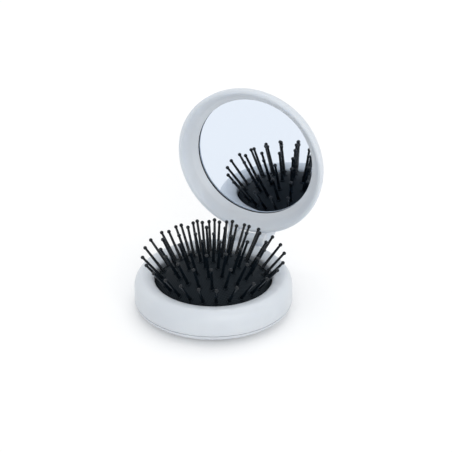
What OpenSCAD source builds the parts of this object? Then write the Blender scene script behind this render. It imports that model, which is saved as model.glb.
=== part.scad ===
// Round folding hairbrush with a mirror in its lid, shown with the lid open and the brush popped up.
// The base stands on z = 0 with its centre on the Z axis, and the hinge is at +Y, along X.
// Lid pieces are drawn in the lid's own closed position, with t measured up from the plane
// in which the lid closes, and open_lid() then swings them up about the hinge.

/* [Base] */
// Outer radius of the base, from which the radii of the opening, the lid and the mirror follow
case_r = 32.8; // [30:0.2:36]
// Height of the rim's crest above the table
base_h = 15.3; // [14.5:0.1:17]
// Height at which the base starts to curve in to the crest
base_belly = 10; // [8.5:0.1:11]
// Width of the rounded edge under the base
base_edge_w = 11.5; // [9:0.1:12]
// Height of the parting groove between the base's two shells, where the rounded edge ends
base_split = 4.4; // [3.8:0.1:5]
// Width of the parting grooves
groove = 0.25; // [0.1:0.05:0.4]
// Distance from the base's outer radius in to the crest
crest_in = 3.7; // [3:0.1:4.4]
// Width of the base's rim, from its outer radius to the opening that the pad fills
rim_w = 8.3; // [7.6:0.1:9]
// Depth of the opening's edge below the crest
opening_drop = 2; // [1:0.1:3]
// Wall thickness of the base's and the lid's shells
wall = 1.7; // [1.3:0.1:2]
// Thickness of the base's floor
floor_t = 1.9; // [1.4:0.1:2.2]
// Distance from the base's outer radius in to the foot ring that touches the table
foot_in = 9.4; // [8.8:0.1:10.5]
// Width of the foot ring
foot_w = 5; // [3:0.5:6]
// Depth of the recess inside the foot ring
foot_recess = 0.4; // [0.2:0.1:0.8]

/* [Lid] */
// How much smaller the lid's outer radius is than the base's
lid_inset = 0.1; // [0:0.05:0.5]
// Thickness of the lid from its closing plane to its back
lid_h = 8.9; // [8.8:0.1:9.8]
// Depth below the closing plane at which the lid is widest
lid_belly = 0.6; // [0.5:0.05:1]
// Width of the rounding from the lid's side to its back
lid_edge_w = 7.6; // [7:0.1:8]
// Depth of the parting groove between the lid's two shells
lid_split = 5; // [4.9:0.1:5.3]
// Distance from the lid's outer radius in to the crest
lid_crest_in = 1.5; // [1.3:0.05:1.7]
// Width of the lid's rim, from its outer radius to the opening in front of the mirror
lid_rim_w = 6.6; // [6.3:0.05:6.9]
// Distance from the crest in to the crease in the ring's inner face
crease_in = 2.8; // [2.6:0.05:2.9]
// Depth of that crease, where the slope down to the mirror gets a little less steep
crease_depth = 3.9; // [3.7:0.1:4]
// Overlap of the mirror's edge and the lip in front of it
mirror_lap = 0.75; // [0.5:0.05:1]
// Thickness of the mirror glass
mirror_t = 1.2; // [1:0.1:1.2]
// Thickness of the lid's back behind the mirror, which sets how deep the mirror lies
back_t = 1.1; // [0.9:0.05:1.3]
// Gap between the mirror's face and the lip in front of it
mirror_gap = 0.1; // [0.05:0.05:0.2]
// Thickness of the foam disc behind the mirror
backing_t = 0.2; // [0.1:0.05:0.2]
// How much smaller the foam disc's radius is than the mirror's
backing_in = 1.8; // [1:0.1:4]
// Gap between the crests of the lid and the base when the lid is closed
closing_gap = 0.3; // [0.2:0.05:0.6]

/* [Hinge] */
// How far the lid stands open, in degrees
open_deg = 91.7; // [80:0.1:98]
// Distance of the hinge axis outside the base's outer radius
hinge_out = 2.3; // [2:0.1:2.4]
// Depth of the hinge axis below the lid's closing plane
hinge_down = 1; // [0.7:0.05:1.2]
// Radius of the knuckles
knuckle_r = 2.6; // [2.3:0.1:2.8]
// Half the width of the base's middle knuckle
knuckle_half = 4.3; // [3:0.1:5.5]
// Half the width of the whole hinge
hinge_half = 8.3; // [7.3:0.1:9.5]
// Gap between neighbouring knuckles
knuckle_gap = 0.2; // [0.1:0.05:0.4]
// How far each lid lug widens towards the lid
lug_flare = 2.7; // [1:0.1:4]
// Height of the hinge lugs, from the axis to where they run into the walls
lug_h = 5.5; // [5:0.1:5.6]
// Radius of the hinge pin
hinge_pin_r = 0.8; // [0.6:0.05:1]
// Radial clearance of the hinge pin in the middle knuckle
running_gap = 0.05; // [0.02:0.01:0.08]

/* [Pad] */
// Height of the dome's top above the opening's edge
dome_rise = 7.8; // [6.5:0.1:8.5]
// Depth of the pad's rim below the opening's edge
dome_sink = 2.5; // [2:0.1:3]
// Thickness of the rubber
pad_t = 1.2; // [0.8:0.1:1.5]
// Width of the bezel's lip that holds the pad's flange down
lip_w = 3; // [2:0.1:3.4]
// Radius of the raised collar round each pin
collar_r = 1.25; // [1.1:0.05:1.3]
// Height of the collars
collar_h = 0.4; // [0.2:0.05:0.6]
// Thickness of the ring that clamps the flange from below
ring_t = 1.4; // [1:0.1:1.8]

/* [Pins] */
// Length of a pin from the pad to its tip
pin_len = 14; // [12:0.1:14.4]
// Radius of a pin at the pad
pin_r = 0.65; // [0.5:0.05:0.7]
// Radius of a pin just below its ball
pin_tip_r = 0.5; // [0.4:0.02:0.54]
// Radius of the ball on a pin's tip
ball_r = 0.8; // [0.7:0.02:0.86]
// Radius of the flat head under the pad
head_r = 1.3; // [1:0.05:1.5]
// Thickness of the flat head
head_t = 0.7; // [0.5:0.05:0.9]
// Clearance between a pin and the hole it passes through
pin_gap = 0.05; // [0.02:0.01:0.08]
// Distance from the outermost pins to the opening's edge
pin_edge = 3.6; // [3:0.1:4.4]

/* [Push button] */
// Radius of the push button
button_r = 8; // [7:0.1:9]
// Side clearance of the push button in the base
button_gap = 0.3; // [0.2:0.05:0.5]
// Wall thickness of the push button
button_wall = 1.2; // [0.9:0.1:1.5]
// How deep the button lies above the table when it is pressed home
button_sink = 0.2; // [0.1:0.05:0.5]
// Gap between the pins' tips and the mirror when the lid is closed, which sets how flat the pad goes
tip_gap = 0.5; // [0.3:0.1:0.8]
// Radius of the lift plate
plate_r = 9; // [8.5:0.1:9.5]
// Thickness of the lift plate at its rim
plate_t = 1.2; // [1:0.1:1.3]

/* [Hidden] */
$fn = 72;
ARC = 9;              // steps in each rounded stretch of an outline
CUT = 0.01;           // overlap that lets joined solids share volume
SPIGOT_H = 2;         // height of the base shell's rim that plugs into the bezel
SPIGOT_T = 0.9;       // thickness of those rims
FIT = 0.15;           // radial play of a rim in the shell that it plugs into
KNUCKLE_PLAY = 0.35;  // play of a knuckle in the pocket of the other half
SEAT_PLAY = 0.3;      // radial play of the mirror in its seat
LID_SPIGOT_H = 1.1;   // height of the lid shell's rim
ROOF_PLAY = 0.2;      // room between that rim and the lid bezel round it
CORNER_W = 0.8;       // width of the corner cut off under the lid bezel's lip
CORNER_H = 1.1;       // height of that corner
HEAD_PLAY = 0.05;     // play between the pins' heads, the pad and the lift plate
EDGE_PLAY = 0.2;      // play between the dome's edge and the opening
STEP_IN = 0.5;        // how far the clamped flange, the ring and the post step back from each other
POST_T = 1.5;         // thickness of the post that carries the pad ring
PLATE_ROOM = 0.5;     // room left under the lift plate when the button is pressed home
PLUG_PLAY = 0.3;       // room under the lift plate's plug in the button
LID_TAPER = 0.4;      // extra thickness of the lid's side wall at its widest
LIP_EDGE = 0.35;      // height of the upright edge of the lip round the mirror
LUG_SINK = 0.3;       // how far the hinge lugs' outer faces run in under the walls
LUG_FROM = 30;        // where the lugs' outer faces leave the knuckles, in degrees
FLARE_FROM = 0.15;    // where the lid lugs start to widen, as a share of their height
FLARE_TO = 0.8;       // where they have reached their full width
PIN_SHORT = 0.2;      // how far the hinge pin's ends stop short of the knuckles' faces
CHAMFER = 0.3;        // chamfer on the mirror's face

// Base heights and radii
opening_r = case_r - rim_w;
crest_r = case_r - crest_in;
edge_mid_r = case_r - base_edge_w;
foot_r = case_r - foot_in;
foot_in_r = foot_r - foot_w;
opening_z = base_h - opening_drop;
pad_rim_z = opening_z - dome_sink;
flange_z = pad_rim_z - pad_t;
ring_z = flange_z - ring_t;
lip_r = opening_r + lip_w;
flange_r = lip_r - FIT;
shell_in_r = case_r - wall;
post_r = lip_r + STEP_IN;
ring_in_r = opening_r + STEP_IN;

// The dome is part of a sphere through its top and its rim
dome_edge_r = opening_r - EDGE_PLAY;
dome_h = dome_rise + dome_sink;
dome_r = (dome_edge_r * dome_edge_r + dome_h * dome_h) / (2 * dome_h);
dome_z = opening_z + dome_rise - dome_r;

// Lid, in its closed position
lid_r = case_r - lid_inset;
lid_z = base_h + closing_gap;
lid_crest_r = lid_r - lid_crest_in;
lid_open_r = lid_r - lid_rim_w;
lid_edge_r = lid_r - lid_edge_w;
lid_back_h = lid_h - lid_belly;
lid_in_r = lid_r - wall - LID_TAPER;
lid_spigot_r = lid_in_r - FIT;
lid_spigot_in_r = lid_spigot_r - SPIGOT_T;
mirror_r = lid_open_r + mirror_lap;
seat_r = mirror_r + SEAT_PLAY;
lid_inside = lid_h - back_t;
mirror_depth = lid_inside - backing_t - mirror_t;
lip_z = mirror_depth - mirror_gap;

// Button and lift plate. The closing mirror sets how far the pad and the pins go down.
flat_z = lid_z + mirror_depth - tip_gap - pin_len;
travel = opening_z + dome_rise - flat_z;
plate_top_r = dome_r - pad_t - HEAD_PLAY - head_t - HEAD_PLAY;
plate_z = dome_z + sqrt(plate_top_r * plate_top_r - plate_r * plate_r) - plate_t;
button_z = travel + button_sink;
plug_h = plate_z - button_z - button_wall - PLUG_PLAY;
guide_r = button_r + button_gap;
guide_z = plate_z - travel - PLATE_ROOM;

// Hinge axis
hinge_y = case_r + hinge_out;
hinge_z = lid_z - hinge_down;
pocket_r = knuckle_r + KNUCKLE_PLAY;
lug_x = knuckle_half + knuckle_gap;

// The pins stand in five rings: how many, at what angle the first stands, in degrees
RING_COUNT = [1, 6, 12, 18, 24];
RING_START = [0, 16, 13.5, 12, 12];
ring_pitch = (opening_r - pin_edge) / 4;
INNER_GROUPS = 6;
OUTER_GROUPS = 12;

FROSTED = [0.81, 0.85, 0.89];
FROSTED_DARK = [0.76, 0.81, 0.86];
BLACK = [0.10, 0.10, 0.12];
RUBBER = [0.16, 0.16, 0.18];

// Points along an arc of an ellipse about (r, z), from angle a0 to a1
function arc(r, z, rr, rz, a0, a1) =
    [for (i = [0:ARC]) let (a = a0 + (a1 - a0) * i / ARC) [r + rr * cos(a), z + rz * sin(a)]];

// The same without its first point, to go on from the end of another stretch
function arc_on(r, z, rr, rz, a0, a1) =
    let (points = arc(r, z, rr, rz, a0, a1)) [for (i = [1:ARC]) points[i]];

// Angle on a rounding of height h, at a height above its centre
function edge_angle(up, h) = asin(max(-1, min(1, up / h)));

module turned(outline) {
    rotate_extrude($fn = 144) polygon(outline);
}

module along_x(x0, x1, r) {
    translate([x0, hinge_y, hinge_z]) rotate([0, 90, 0]) cylinder(h = x1 - x0, r = r);
}

// A flat outline in the plane of y and z, given from the hinge axis, made into a plate from x0 to x1
module side_plate(x0, x1, outline) {
    translate([x0, hinge_y, hinge_z]) rotate([90, 0, 90]) linear_extrude(x1 - x0) polygon(outline);
}

module open_lid() {
    translate([0, hinge_y, hinge_z]) rotate([-open_deg, 0, 0]) translate([0, -hinge_y, -hinge_z])
        children();
}

// ---- Base ----

module base_shell() {
    spigot_r = shell_in_r - FIT;
    spigot_in_r = spigot_r - SPIGOT_T;
    inside_w = base_edge_w - wall;
    color(FROSTED_DARK) union() {
        turned(concat(
            [[guide_r, foot_recess], [foot_in_r, foot_recess], [foot_in_r + foot_recess, 0], [foot_r, 0]],
            arc(edge_mid_r, base_split, base_edge_w, base_split,
                -acos((foot_r - edge_mid_r) / base_edge_w), edge_angle(-groove / 2, base_split)),
            [[spigot_r, base_split - groove / 2], [spigot_r, base_split + SPIGOT_H],
             [spigot_in_r, base_split + SPIGOT_H]],
            arc(edge_mid_r, base_split, inside_w, base_split - floor_t,
                -acos((spigot_in_r - edge_mid_r) / inside_w), -90),
            [[guide_r + wall, floor_t], [guide_r + wall, guide_z], [guide_r, guide_z]]));
        turned([[post_r - POST_T, floor_t], [post_r, floor_t], [post_r, ring_z], [post_r - POST_T, ring_z]]);
    }
}

module base_rim() {
    bottom = base_split + groove / 2;
    turned(concat(
        [[case_r, bottom]],
        arc(crest_r, base_belly, case_r - crest_r, base_h - base_belly, 0, 90),
        arc_on(crest_r, opening_z, crest_r - opening_r, opening_drop, 90, 180),
        [[opening_r, pad_rim_z], [lip_r, pad_rim_z], [lip_r, base_h - wall]],
        arc(crest_r, base_belly, shell_in_r - crest_r, base_h - wall - base_belly, 90, 0),
        [[shell_in_r, bottom]]));
}

module base_bezel() {
    side = [[-knuckle_r, 0], [knuckle_r, 0], [knuckle_r * cos(LUG_FROM), -knuckle_r * sin(LUG_FROM)],
            [-hinge_out - LUG_SINK, -lug_h], [-hinge_out - wall, -lug_h]];
    color(FROSTED) difference() {
        union() {
            difference() {
                base_rim();
                for (side = [0, 1]) mirror([side, 0, 0])
                    along_x(knuckle_half, hinge_half + KNUCKLE_PLAY, pocket_r);
            }
            along_x(-knuckle_half, knuckle_half, knuckle_r);
            side_plate(-knuckle_half, knuckle_half, side);
        }
        along_x(-case_r, case_r, hinge_pin_r + running_gap);
    }
}

module pad_ring() {
    color(FROSTED_DARK) translate([0, 0, ring_z]) difference() {
        cylinder(h = ring_t, r = post_r);
        translate([0, 0, -CUT]) cylinder(h = ring_t + 2 * CUT, r = ring_in_r);
    }
}

// ---- Pad, lift plate and button ----

module rubber_pad() {
    color(RUBBER) difference() {
        union() {
            difference() {
                translate([0, 0, dome_z]) sphere(dome_r, $fn = 144);
                translate([0, 0, dome_z]) sphere(dome_r - pad_t, $fn = 144);
                translate([0, 0, pad_rim_z - 2 * dome_r]) cylinder(h = 2 * dome_r, r = 2 * dome_r);
            }
            translate([0, 0, flange_z]) difference() {
                cylinder(h = pad_t, r = flange_r);
                translate([0, 0, -CUT]) cylinder(h = pad_t + 2 * CUT, r = dome_edge_r - pad_t);
            }
            for (ring = [0:4]) ring_of_pins(ring) translate([0, 0, -pad_t / 2])
                cylinder(h = pad_t / 2 + collar_h, r = collar_r);
        }
        for (ring = [0:4]) ring_of_pins(ring) translate([0, 0, -2 * pad_t])
            cylinder(h = 3 * pad_t + collar_h, r = pin_r + pin_gap, $fn = 24);
    }
}

module lift_plate() {
    plug_r = button_r - button_wall - FIT;
    color(BLACK) union() {
        intersection() {
            translate([0, 0, dome_z]) sphere(plate_top_r, $fn = 144);
            translate([0, 0, plate_z]) cylinder(h = dome_r, r = plate_r);
        }
        translate([0, 0, plate_z - plug_h]) difference() {
            cylinder(h = plug_h + CUT, r = plug_r);
            translate([0, 0, -CUT]) cylinder(h = plug_h + CUT, r = plug_r - button_wall);
        }
    }
}

module push_button() {
    color(BLACK) translate([0, 0, button_z]) difference() {
        cylinder(h = plate_z - button_z, r = button_r);
        translate([0, 0, button_wall]) cylinder(h = plate_z, r = button_r - button_wall);
    }
}

// ---- Pins ----

// Puts its children on the dome, square to it, at a radius and an angle
module on_dome(r, angle) {
    tilt = asin(r / dome_r);
    rotate([0, 0, angle]) translate([0, 0, dome_z]) rotate([0, tilt, 0]) translate([0, 0, dome_r])
        children();
}

module ring_of_pins(ring) {
    for (i = [0:RING_COUNT[ring] - 1])
        on_dome(ring * ring_pitch, RING_START[ring] + i * 360 / RING_COUNT[ring]) children();
}

// Some neighbours of one ring, from the first one's place on
module row_of_pins(ring, first, count) {
    for (i = [first:first + count - 1])
        on_dome(ring * ring_pitch, RING_START[ring] + i * 360 / RING_COUNT[ring]) pin();
}

module pin() {
    under = pad_t + HEAD_PLAY;
    color(BLACK) union() {
        translate([0, 0, -under - head_t]) cylinder(h = head_t, r = head_r, $fn = 32);
        translate([0, 0, -under - CUT]) cylinder(h = under + collar_h + CUT, r = pin_r, $fn = 32);
        translate([0, 0, collar_h - CUT])
            cylinder(h = pin_len - ball_r - collar_h + CUT, r1 = pin_r, r2 = pin_tip_r, $fn = 32);
        translate([0, 0, pin_len - ball_r]) sphere(ball_r, $fn = 32);
    }
}

module centre_pins() {
    for (ring = [0:1]) row_of_pins(ring, 0, RING_COUNT[ring]);
}

module middle_pins() {
    row_of_pins(2, 0, RING_COUNT[2]);
}

module inner_pins(group) {
    count = RING_COUNT[3] / INNER_GROUPS;
    row_of_pins(3, (group - 1) * count, count);
}

module outer_pins(group) {
    count = RING_COUNT[4] / OUTER_GROUPS;
    row_of_pins(4, (group - 1) * count, count);
}

// ---- Lid ----

// Radius of the lid's side at a depth past its widest
function lid_side_r(depth) = lid_edge_r + lid_edge_w * cos(edge_angle(depth - lid_belly, lid_back_h));

module lid_rim() {
    bottom = lid_split - groove / 2;
    roof = lid_split - LID_SPIGOT_H - ROOF_PLAY;
    rebate_r = lid_spigot_in_r - FIT;
    translate([0, 0, lid_z]) turned(concat(
        arc(lid_crest_r, lid_belly, lid_r - lid_crest_r, lid_belly, -90, 0),
        arc_on(lid_edge_r, lid_belly, lid_edge_w, lid_back_h, 0, edge_angle(bottom - lid_belly, lid_back_h)),
        [[lid_in_r, bottom], [lid_in_r, roof], [rebate_r, roof], [rebate_r, lip_z - CORNER_H],
         [rebate_r - CORNER_W, lip_z], [lid_open_r, lip_z], [lid_open_r, lip_z - LIP_EDGE],
         [lid_crest_r - crease_in, crease_depth]]));
}

// A hinge lug: its side outline and its front outline, cut out of one block and kept out of the lid
module lid_lug() {
    foot_y = lid_side_r(lug_h - hinge_down) - hinge_y - LUG_SINK;
    full_x = hinge_half + lug_flare;
    side = [[-knuckle_r, 0], [knuckle_r, 0], [knuckle_r * cos(LUG_FROM), knuckle_r * sin(LUG_FROM)],
            [foot_y, lug_h], [foot_y - knuckle_r, lug_h]];
    front = [[lug_x, 0], [hinge_half, 0], [hinge_half, FLARE_FROM * lug_h], [full_x, FLARE_TO * lug_h],
             [full_x, lug_h], [lug_x, lug_h]];
    difference() {
        intersection() {
            side_plate(lug_x, full_x, side);
            translate([0, hinge_y + 2 * knuckle_r, hinge_z]) rotate([90, 0, 0])
                linear_extrude(5 * knuckle_r) polygon(front);
        }
        translate([0, 0, lid_z]) cylinder(h = lid_h, r = lid_r - wall, $fn = 144);
    }
}

module lid_bezel() {
    color(FROSTED) open_lid() difference() {
        union() {
            difference() {
                lid_rim();
                along_x(-knuckle_half - KNUCKLE_PLAY, knuckle_half + KNUCKLE_PLAY, pocket_r);
            }
            for (side = [0, 1]) mirror([side, 0, 0]) {
                along_x(lug_x, hinge_half, knuckle_r);
                lid_lug();
            }
        }
        along_x(-case_r, case_r, hinge_pin_r);
    }
}

module lid_shell() {
    top = lid_split + groove / 2;
    seat_out_r = seat_r + SPIGOT_T;
    spigot_z = lid_split - LID_SPIGOT_H;
    color(FROSTED_DARK) open_lid() translate([0, 0, lid_z]) turned(concat(
        [[0, lid_inside], [seat_r, lid_inside], [seat_r, lip_z], [seat_out_r, lip_z],
         [seat_out_r, lid_inside - wall / 2], [lid_spigot_in_r, lip_z - CORNER_H + ROOF_PLAY],
         [lid_spigot_in_r, spigot_z], [lid_spigot_r, spigot_z], [lid_spigot_r, top]],
        arc(lid_edge_r, lid_belly, lid_edge_w, lid_back_h, edge_angle(top - lid_belly, lid_back_h), 90),
        [[0, lid_h]]));
}

module mirror_glass() {
    color([0.90, 0.93, 0.96]) open_lid() translate([0, 0, lid_z + mirror_depth]) turned([
        [0, 0], [mirror_r - CHAMFER, 0], [mirror_r, CHAMFER], [mirror_r, mirror_t], [0, mirror_t]]);
}

module mirror_backing() {
    color([0.55, 0.57, 0.60]) open_lid() translate([0, 0, lid_z + mirror_depth + mirror_t])
        cylinder(h = backing_t, r = mirror_r - backing_in);
}

module hinge_pin() {
    color([0.7, 0.7, 0.72]) open_lid() along_x(-hinge_half + PIN_SHORT, hinge_half - PIN_SHORT, hinge_pin_r);
}

base_shell();
base_bezel();
pad_ring();
rubber_pad();
push_button();
lift_plate();
hinge_pin();
lid_bezel();
lid_shell();
mirror_glass();
mirror_backing();
centre_pins();
middle_pins();
for (g = [1:INNER_GROUPS])
    inner_pins(g);
for (g = [1:OUTER_GROUPS])
    outer_pins(g);
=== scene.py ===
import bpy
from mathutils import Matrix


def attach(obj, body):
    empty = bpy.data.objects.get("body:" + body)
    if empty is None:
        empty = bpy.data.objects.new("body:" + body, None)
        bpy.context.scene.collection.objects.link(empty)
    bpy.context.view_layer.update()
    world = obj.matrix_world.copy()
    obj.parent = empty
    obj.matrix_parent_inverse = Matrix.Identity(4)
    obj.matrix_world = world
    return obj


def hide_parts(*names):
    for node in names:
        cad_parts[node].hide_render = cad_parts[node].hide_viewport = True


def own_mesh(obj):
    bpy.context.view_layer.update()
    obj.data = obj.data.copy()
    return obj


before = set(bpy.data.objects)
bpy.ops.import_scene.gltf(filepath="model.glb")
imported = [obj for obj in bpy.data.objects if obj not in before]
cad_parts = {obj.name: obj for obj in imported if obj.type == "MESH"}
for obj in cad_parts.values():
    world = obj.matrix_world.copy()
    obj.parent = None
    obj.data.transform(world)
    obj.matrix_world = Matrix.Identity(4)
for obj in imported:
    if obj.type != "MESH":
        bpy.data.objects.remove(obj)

# Looks of a round folding hairbrush with a mirror in its lid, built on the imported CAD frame.
# Sizes are in millimetres and match the CAD part; meshes are written in metres in the row frame.

import logging
import math
from dataclasses import dataclass
from enum import Enum
from functools import partial
from typing import Callable, Iterable, Mapping, Sequence

import bmesh
import bpy
import numpy as np
from bpy.types import ID, Material, Mesh, Node, NodeSocket, NodeTree, Object
from mathutils import Matrix, Vector

log = logging.getLogger("hairbrush")

MM = 0.001
TINY = 1e-6  # nearer than this, two points are one

Point = tuple[float, float]
Colour = tuple[float, float, float]


class Body(str, Enum):
    """CAD bodies that the pieces ride on. The groups of outer and inner pins are bodies of their own names."""

    BASE = "base"
    LID = "lid"
    BUTTON = "button"
    MIDDLE = "middle_pins"


class Slot(str, Enum):
    """Material slots of the record."""

    FROSTED = "frosted_plastic"
    MIRROR = "mirror_glass"
    FOAM = "mirror_foam"
    RUBBER = "pad_rubber"
    NYLON = "pin_nylon"
    BLACK = "black_plastic"
    STEEL = "hinge_steel"


class Cut(str, Enum):
    """How carved() joins a solid to the one before."""

    AWAY = "DIFFERENCE"
    ON = "UNION"
    WITHIN = "INTERSECT"


# ---- Outlines ----


def oblong(r0: float, r1: float, z0: float, z1: float) -> list[Point]:
    """The outline of a flat ring or disc."""
    return [(r0, z0), (r1, z0), (r1, z1), (r0, z1)]


def arc(r: float, z: float, rr: float, rz: float, a0: float, a1: float, steps: int = 24) -> list[Point]:
    """Points along an arc of an ellipse.

    Args:
        r, z: the ellipse's centre.
        rr, rz: its half axes.
        a0, a1: angles of the first and last point, in degrees.
        steps: number of steps between them.

    Returns:
        The points as (radius, height).
    """
    angles = [math.radians(a0 + (a1 - a0) * i / steps) for i in range(steps + 1)]
    return [(r + rr * math.cos(a), z + rz * math.sin(a)) for a in angles]


def edge_angle(up: float, height: float) -> float:
    """Angle in degrees on a rounding of that height, at a height above its centre."""
    return math.degrees(math.asin(max(-1.0, min(1.0, up / height))))


def softened(outline: Sequence[Point], radius: float, least_deg: float = 25.0, steps: int = 4) -> list[Point]:
    """Rounds the sharp corners of a closed outline.

    Args:
        outline: the corners in order.
        radius: radius of the rounding, cut back on short sides.
        least_deg: a corner that turns by less stays as it is.
        steps: steps in each rounding.

    Returns:
        The new outline. Points on the axis stay where they are.
    """
    pts = [np.array(p, float) for k, p in enumerate(outline) if math.dist(p, outline[k - 1]) > TINY]
    made: list[Point] = []
    for k, p in enumerate(pts):
        before, after = pts[k - 1] - p, pts[(k + 1) % len(pts)] - p
        lb, la = np.linalg.norm(before), np.linalg.norm(after)
        u, w = before / lb, after / la
        turn = math.degrees(math.acos(float(np.clip(-u @ w, -1, 1))))
        if turn < least_deg or p[0] < TINY:
            made.append((float(p[0]), float(p[1])))
            continue
        half = math.radians(180 - turn) / 2
        back = min(radius / math.tan(half), 0.45 * lb, 0.45 * la)
        r = back * math.tan(half)
        mid = (u + w) / np.linalg.norm(u + w)
        centre = p + mid * (r / math.sin(half))
        a, b = p + u * back - centre, p + w * back - centre
        sweep = math.acos(float(np.clip(a @ b / (r * r), -1, 1)))
        for i in range(steps + 1):
            t = i / steps
            q = centre + (math.sin((1 - t) * sweep) * a + math.sin(t * sweep) * b) / math.sin(sweep)
            made.append((float(q[0]), float(q[1])))
    return made


def between(a: Point, b: Point, share: float) -> Point:
    """A point that share of the way from a to b."""
    return a[0] + (b[0] - a[0]) * share, a[1] + (b[1] - a[1]) * share


def eased(start: Point, corner: Point, end: Point, steps: int = 8) -> list[Point]:
    """Points along a smooth bend that replaces a corner."""
    shares = [i / steps for i in range(steps + 1)]
    return [between(between(start, corner, t), between(corner, end, t), t) for t in shares]


# ---- Meshes ----


def mesh_from(name: str, verts: Iterable[Sequence[float]], faces: Iterable[Sequence[int]]) -> Mesh:
    """Makes a mesh in metres from points in millimetres, with its normals outward.

    Args:
        name: the mesh's name.
        verts: points in millimetres.
        faces: corners of each face.

    Returns:
        The mesh, shaded smooth apart from its sharp edges.
    """
    mesh = bpy.data.meshes.new(name)
    mesh.from_pydata([[c * MM for c in v] for v in verts], [], [list(f) for f in faces])
    return tidied(mesh)


def tidied(mesh: Mesh, sharp_deg: float = 42.0) -> Mesh:
    """Turns a closed mesh's normals outward and shades it smooth apart from its sharp edges.

    Args:
        mesh: the mesh, which is changed in place.
        sharp_deg: least angle of an edge that stays sharp.

    Returns:
        The same mesh.
    """
    bm = bmesh.new()
    bm.from_mesh(mesh)
    bmesh.ops.recalc_face_normals(bm, faces=bm.faces)
    if bm.calc_volume(signed=True) < 0:
        bmesh.ops.reverse_faces(bm, faces=bm.faces)
    bm.to_mesh(mesh)
    bm.free()
    mesh.shade_smooth()
    mesh.set_sharp_from_angle(angle=math.radians(sharp_deg))
    mesh.update()
    return mesh


def turned(name: str, outline: Sequence[Point], corner: float = 0.0, segments: int = 192,
           **easing: float) -> Mesh:
    """Turns a closed outline round the Z axis.

    Args:
        name: the mesh's name.
        outline: points as (radius, height) in millimetres.
        corner: radius of the rounding of its corners, or 0 to keep them sharp.
        segments: steps round the axis.
        easing: further settings of that rounding.

    Returns:
        The mesh. A point on the axis is one vertex.
    """
    rim = softened(outline, corner, **easing) if corner else list(outline)
    angles = [2 * math.pi * i / segments for i in range(segments)]
    verts: list[tuple[float, float, float]] = []
    rows: list[list[int]] = []
    for r, z in rim:
        if r < TINY:
            rows.append([len(verts)] * segments)
            verts.append((0.0, 0.0, z))
        else:
            rows.append(list(range(len(verts), len(verts) + segments)))
            verts.extend((r * math.cos(a), r * math.sin(a), z) for a in angles)
    faces: list[tuple[int, ...]] = []
    for k in range(len(rim)):
        a, b = rows[k], rows[(k + 1) % len(rim)]
        if a[0] == a[1] and b[0] == b[1]:
            continue
        for i in range(segments):
            j = (i + 1) % segments
            faces.append(tuple(dict.fromkeys((a[i], a[j], b[j], b[i]))))
    return mesh_from(name, verts, faces)


def prism(name: str, ends: Sequence[Sequence[Sequence[float]]]) -> Mesh:
    """A solid between two flat ends.

    Args:
        name: the mesh's name.
        ends: the corners of each end in millimetres, as many on both.

    Returns:
        The mesh.
    """
    n = len(ends[0])
    faces = [tuple(range(n)), tuple(range(2 * n - 1, n - 1, -1))]
    faces += [(i, (i + 1) % n, n + (i + 1) % n, n + i) for i in range(n)]
    return mesh_from(name, [corner for end in ends for corner in end], faces)


def along_x(name: str, outline: Sequence[Point], x0: float, x1: float) -> Mesh:
    """A plate from x0 to x1 with a flat outline given as (y, z), all in millimetres."""
    return prism(name, [[(x, y, z) for y, z in outline] for x in (x0, x1)])


def circle(y: float, z: float, r: float, steps: int = 64) -> list[Point]:
    """Points round a circle, as an outline."""
    return arc(y, z, r, r, 0, 360 - 360 / steps, steps - 1)


def placed(mesh: Mesh, matrix: Matrix) -> Mesh:
    """Moves a mesh's points.

    Args:
        mesh: the mesh, which is changed in place.
        matrix: where the points go, in metres.

    Returns:
        The same mesh.
    """
    mesh.transform(matrix)
    mesh.update()
    return mesh


def merged(name: str, meshes: Sequence[Mesh]) -> Mesh:
    """Puts several meshes in one.

    Args:
        name: the new mesh's name.
        meshes: the meshes, of which the first gives the materials.

    Returns:
        The new mesh.
    """
    bm = bmesh.new()
    for mesh in meshes:
        bm.from_mesh(mesh)
    joined = bpy.data.meshes.new(name)
    bm.to_mesh(joined)
    bm.free()
    for material in meshes[0].materials:
        joined.materials.append(material)
    return joined


def new_object(name: str, data: ID) -> Object:
    """Puts an object in the scene.

    Args:
        name: the object's name.
        data: the mesh, camera or light that it shows.

    Returns:
        The object.
    """
    obj = bpy.data.objects.new(name, data)
    bpy.context.scene.collection.objects.link(obj)
    return obj


def baked(obj: Object, name: str) -> Mesh:
    """The object's mesh with its modifiers applied. The object itself is removed.

    Args:
        obj: the object with its modifiers.
        name: the new mesh's name.

    Returns:
        A plain mesh.
    """
    bpy.context.view_layer.update()
    graph = bpy.context.evaluated_depsgraph_get()
    mesh = bpy.data.meshes.new_from_object(obj.evaluated_get(graph), depsgraph=graph)
    mesh.name = name
    bpy.data.objects.remove(obj)
    return mesh


def carved(mesh: Mesh, steps: Sequence[tuple[Cut, Mesh]]) -> Mesh:
    """Cuts solids away from a mesh or joins them to it, in order.

    Args:
        mesh: the solid to start from.
        steps: what to do with each further solid.

    Returns:
        The new mesh, tidied.
    """
    tools = []
    obj = new_object("work", mesh)
    for k, (cut, solid) in enumerate(steps):
        tool = new_object(f"tool_{k}", solid)
        tools.append(tool)
        boolean = obj.modifiers.new(f"cut_{k}", "BOOLEAN")
        boolean.operation, boolean.solver, boolean.object = cut.value, "EXACT", tool
    made = baked(obj, mesh.name)
    for tool in tools:
        bpy.data.objects.remove(tool)
    made.materials.clear()
    return tidied(made)


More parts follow.
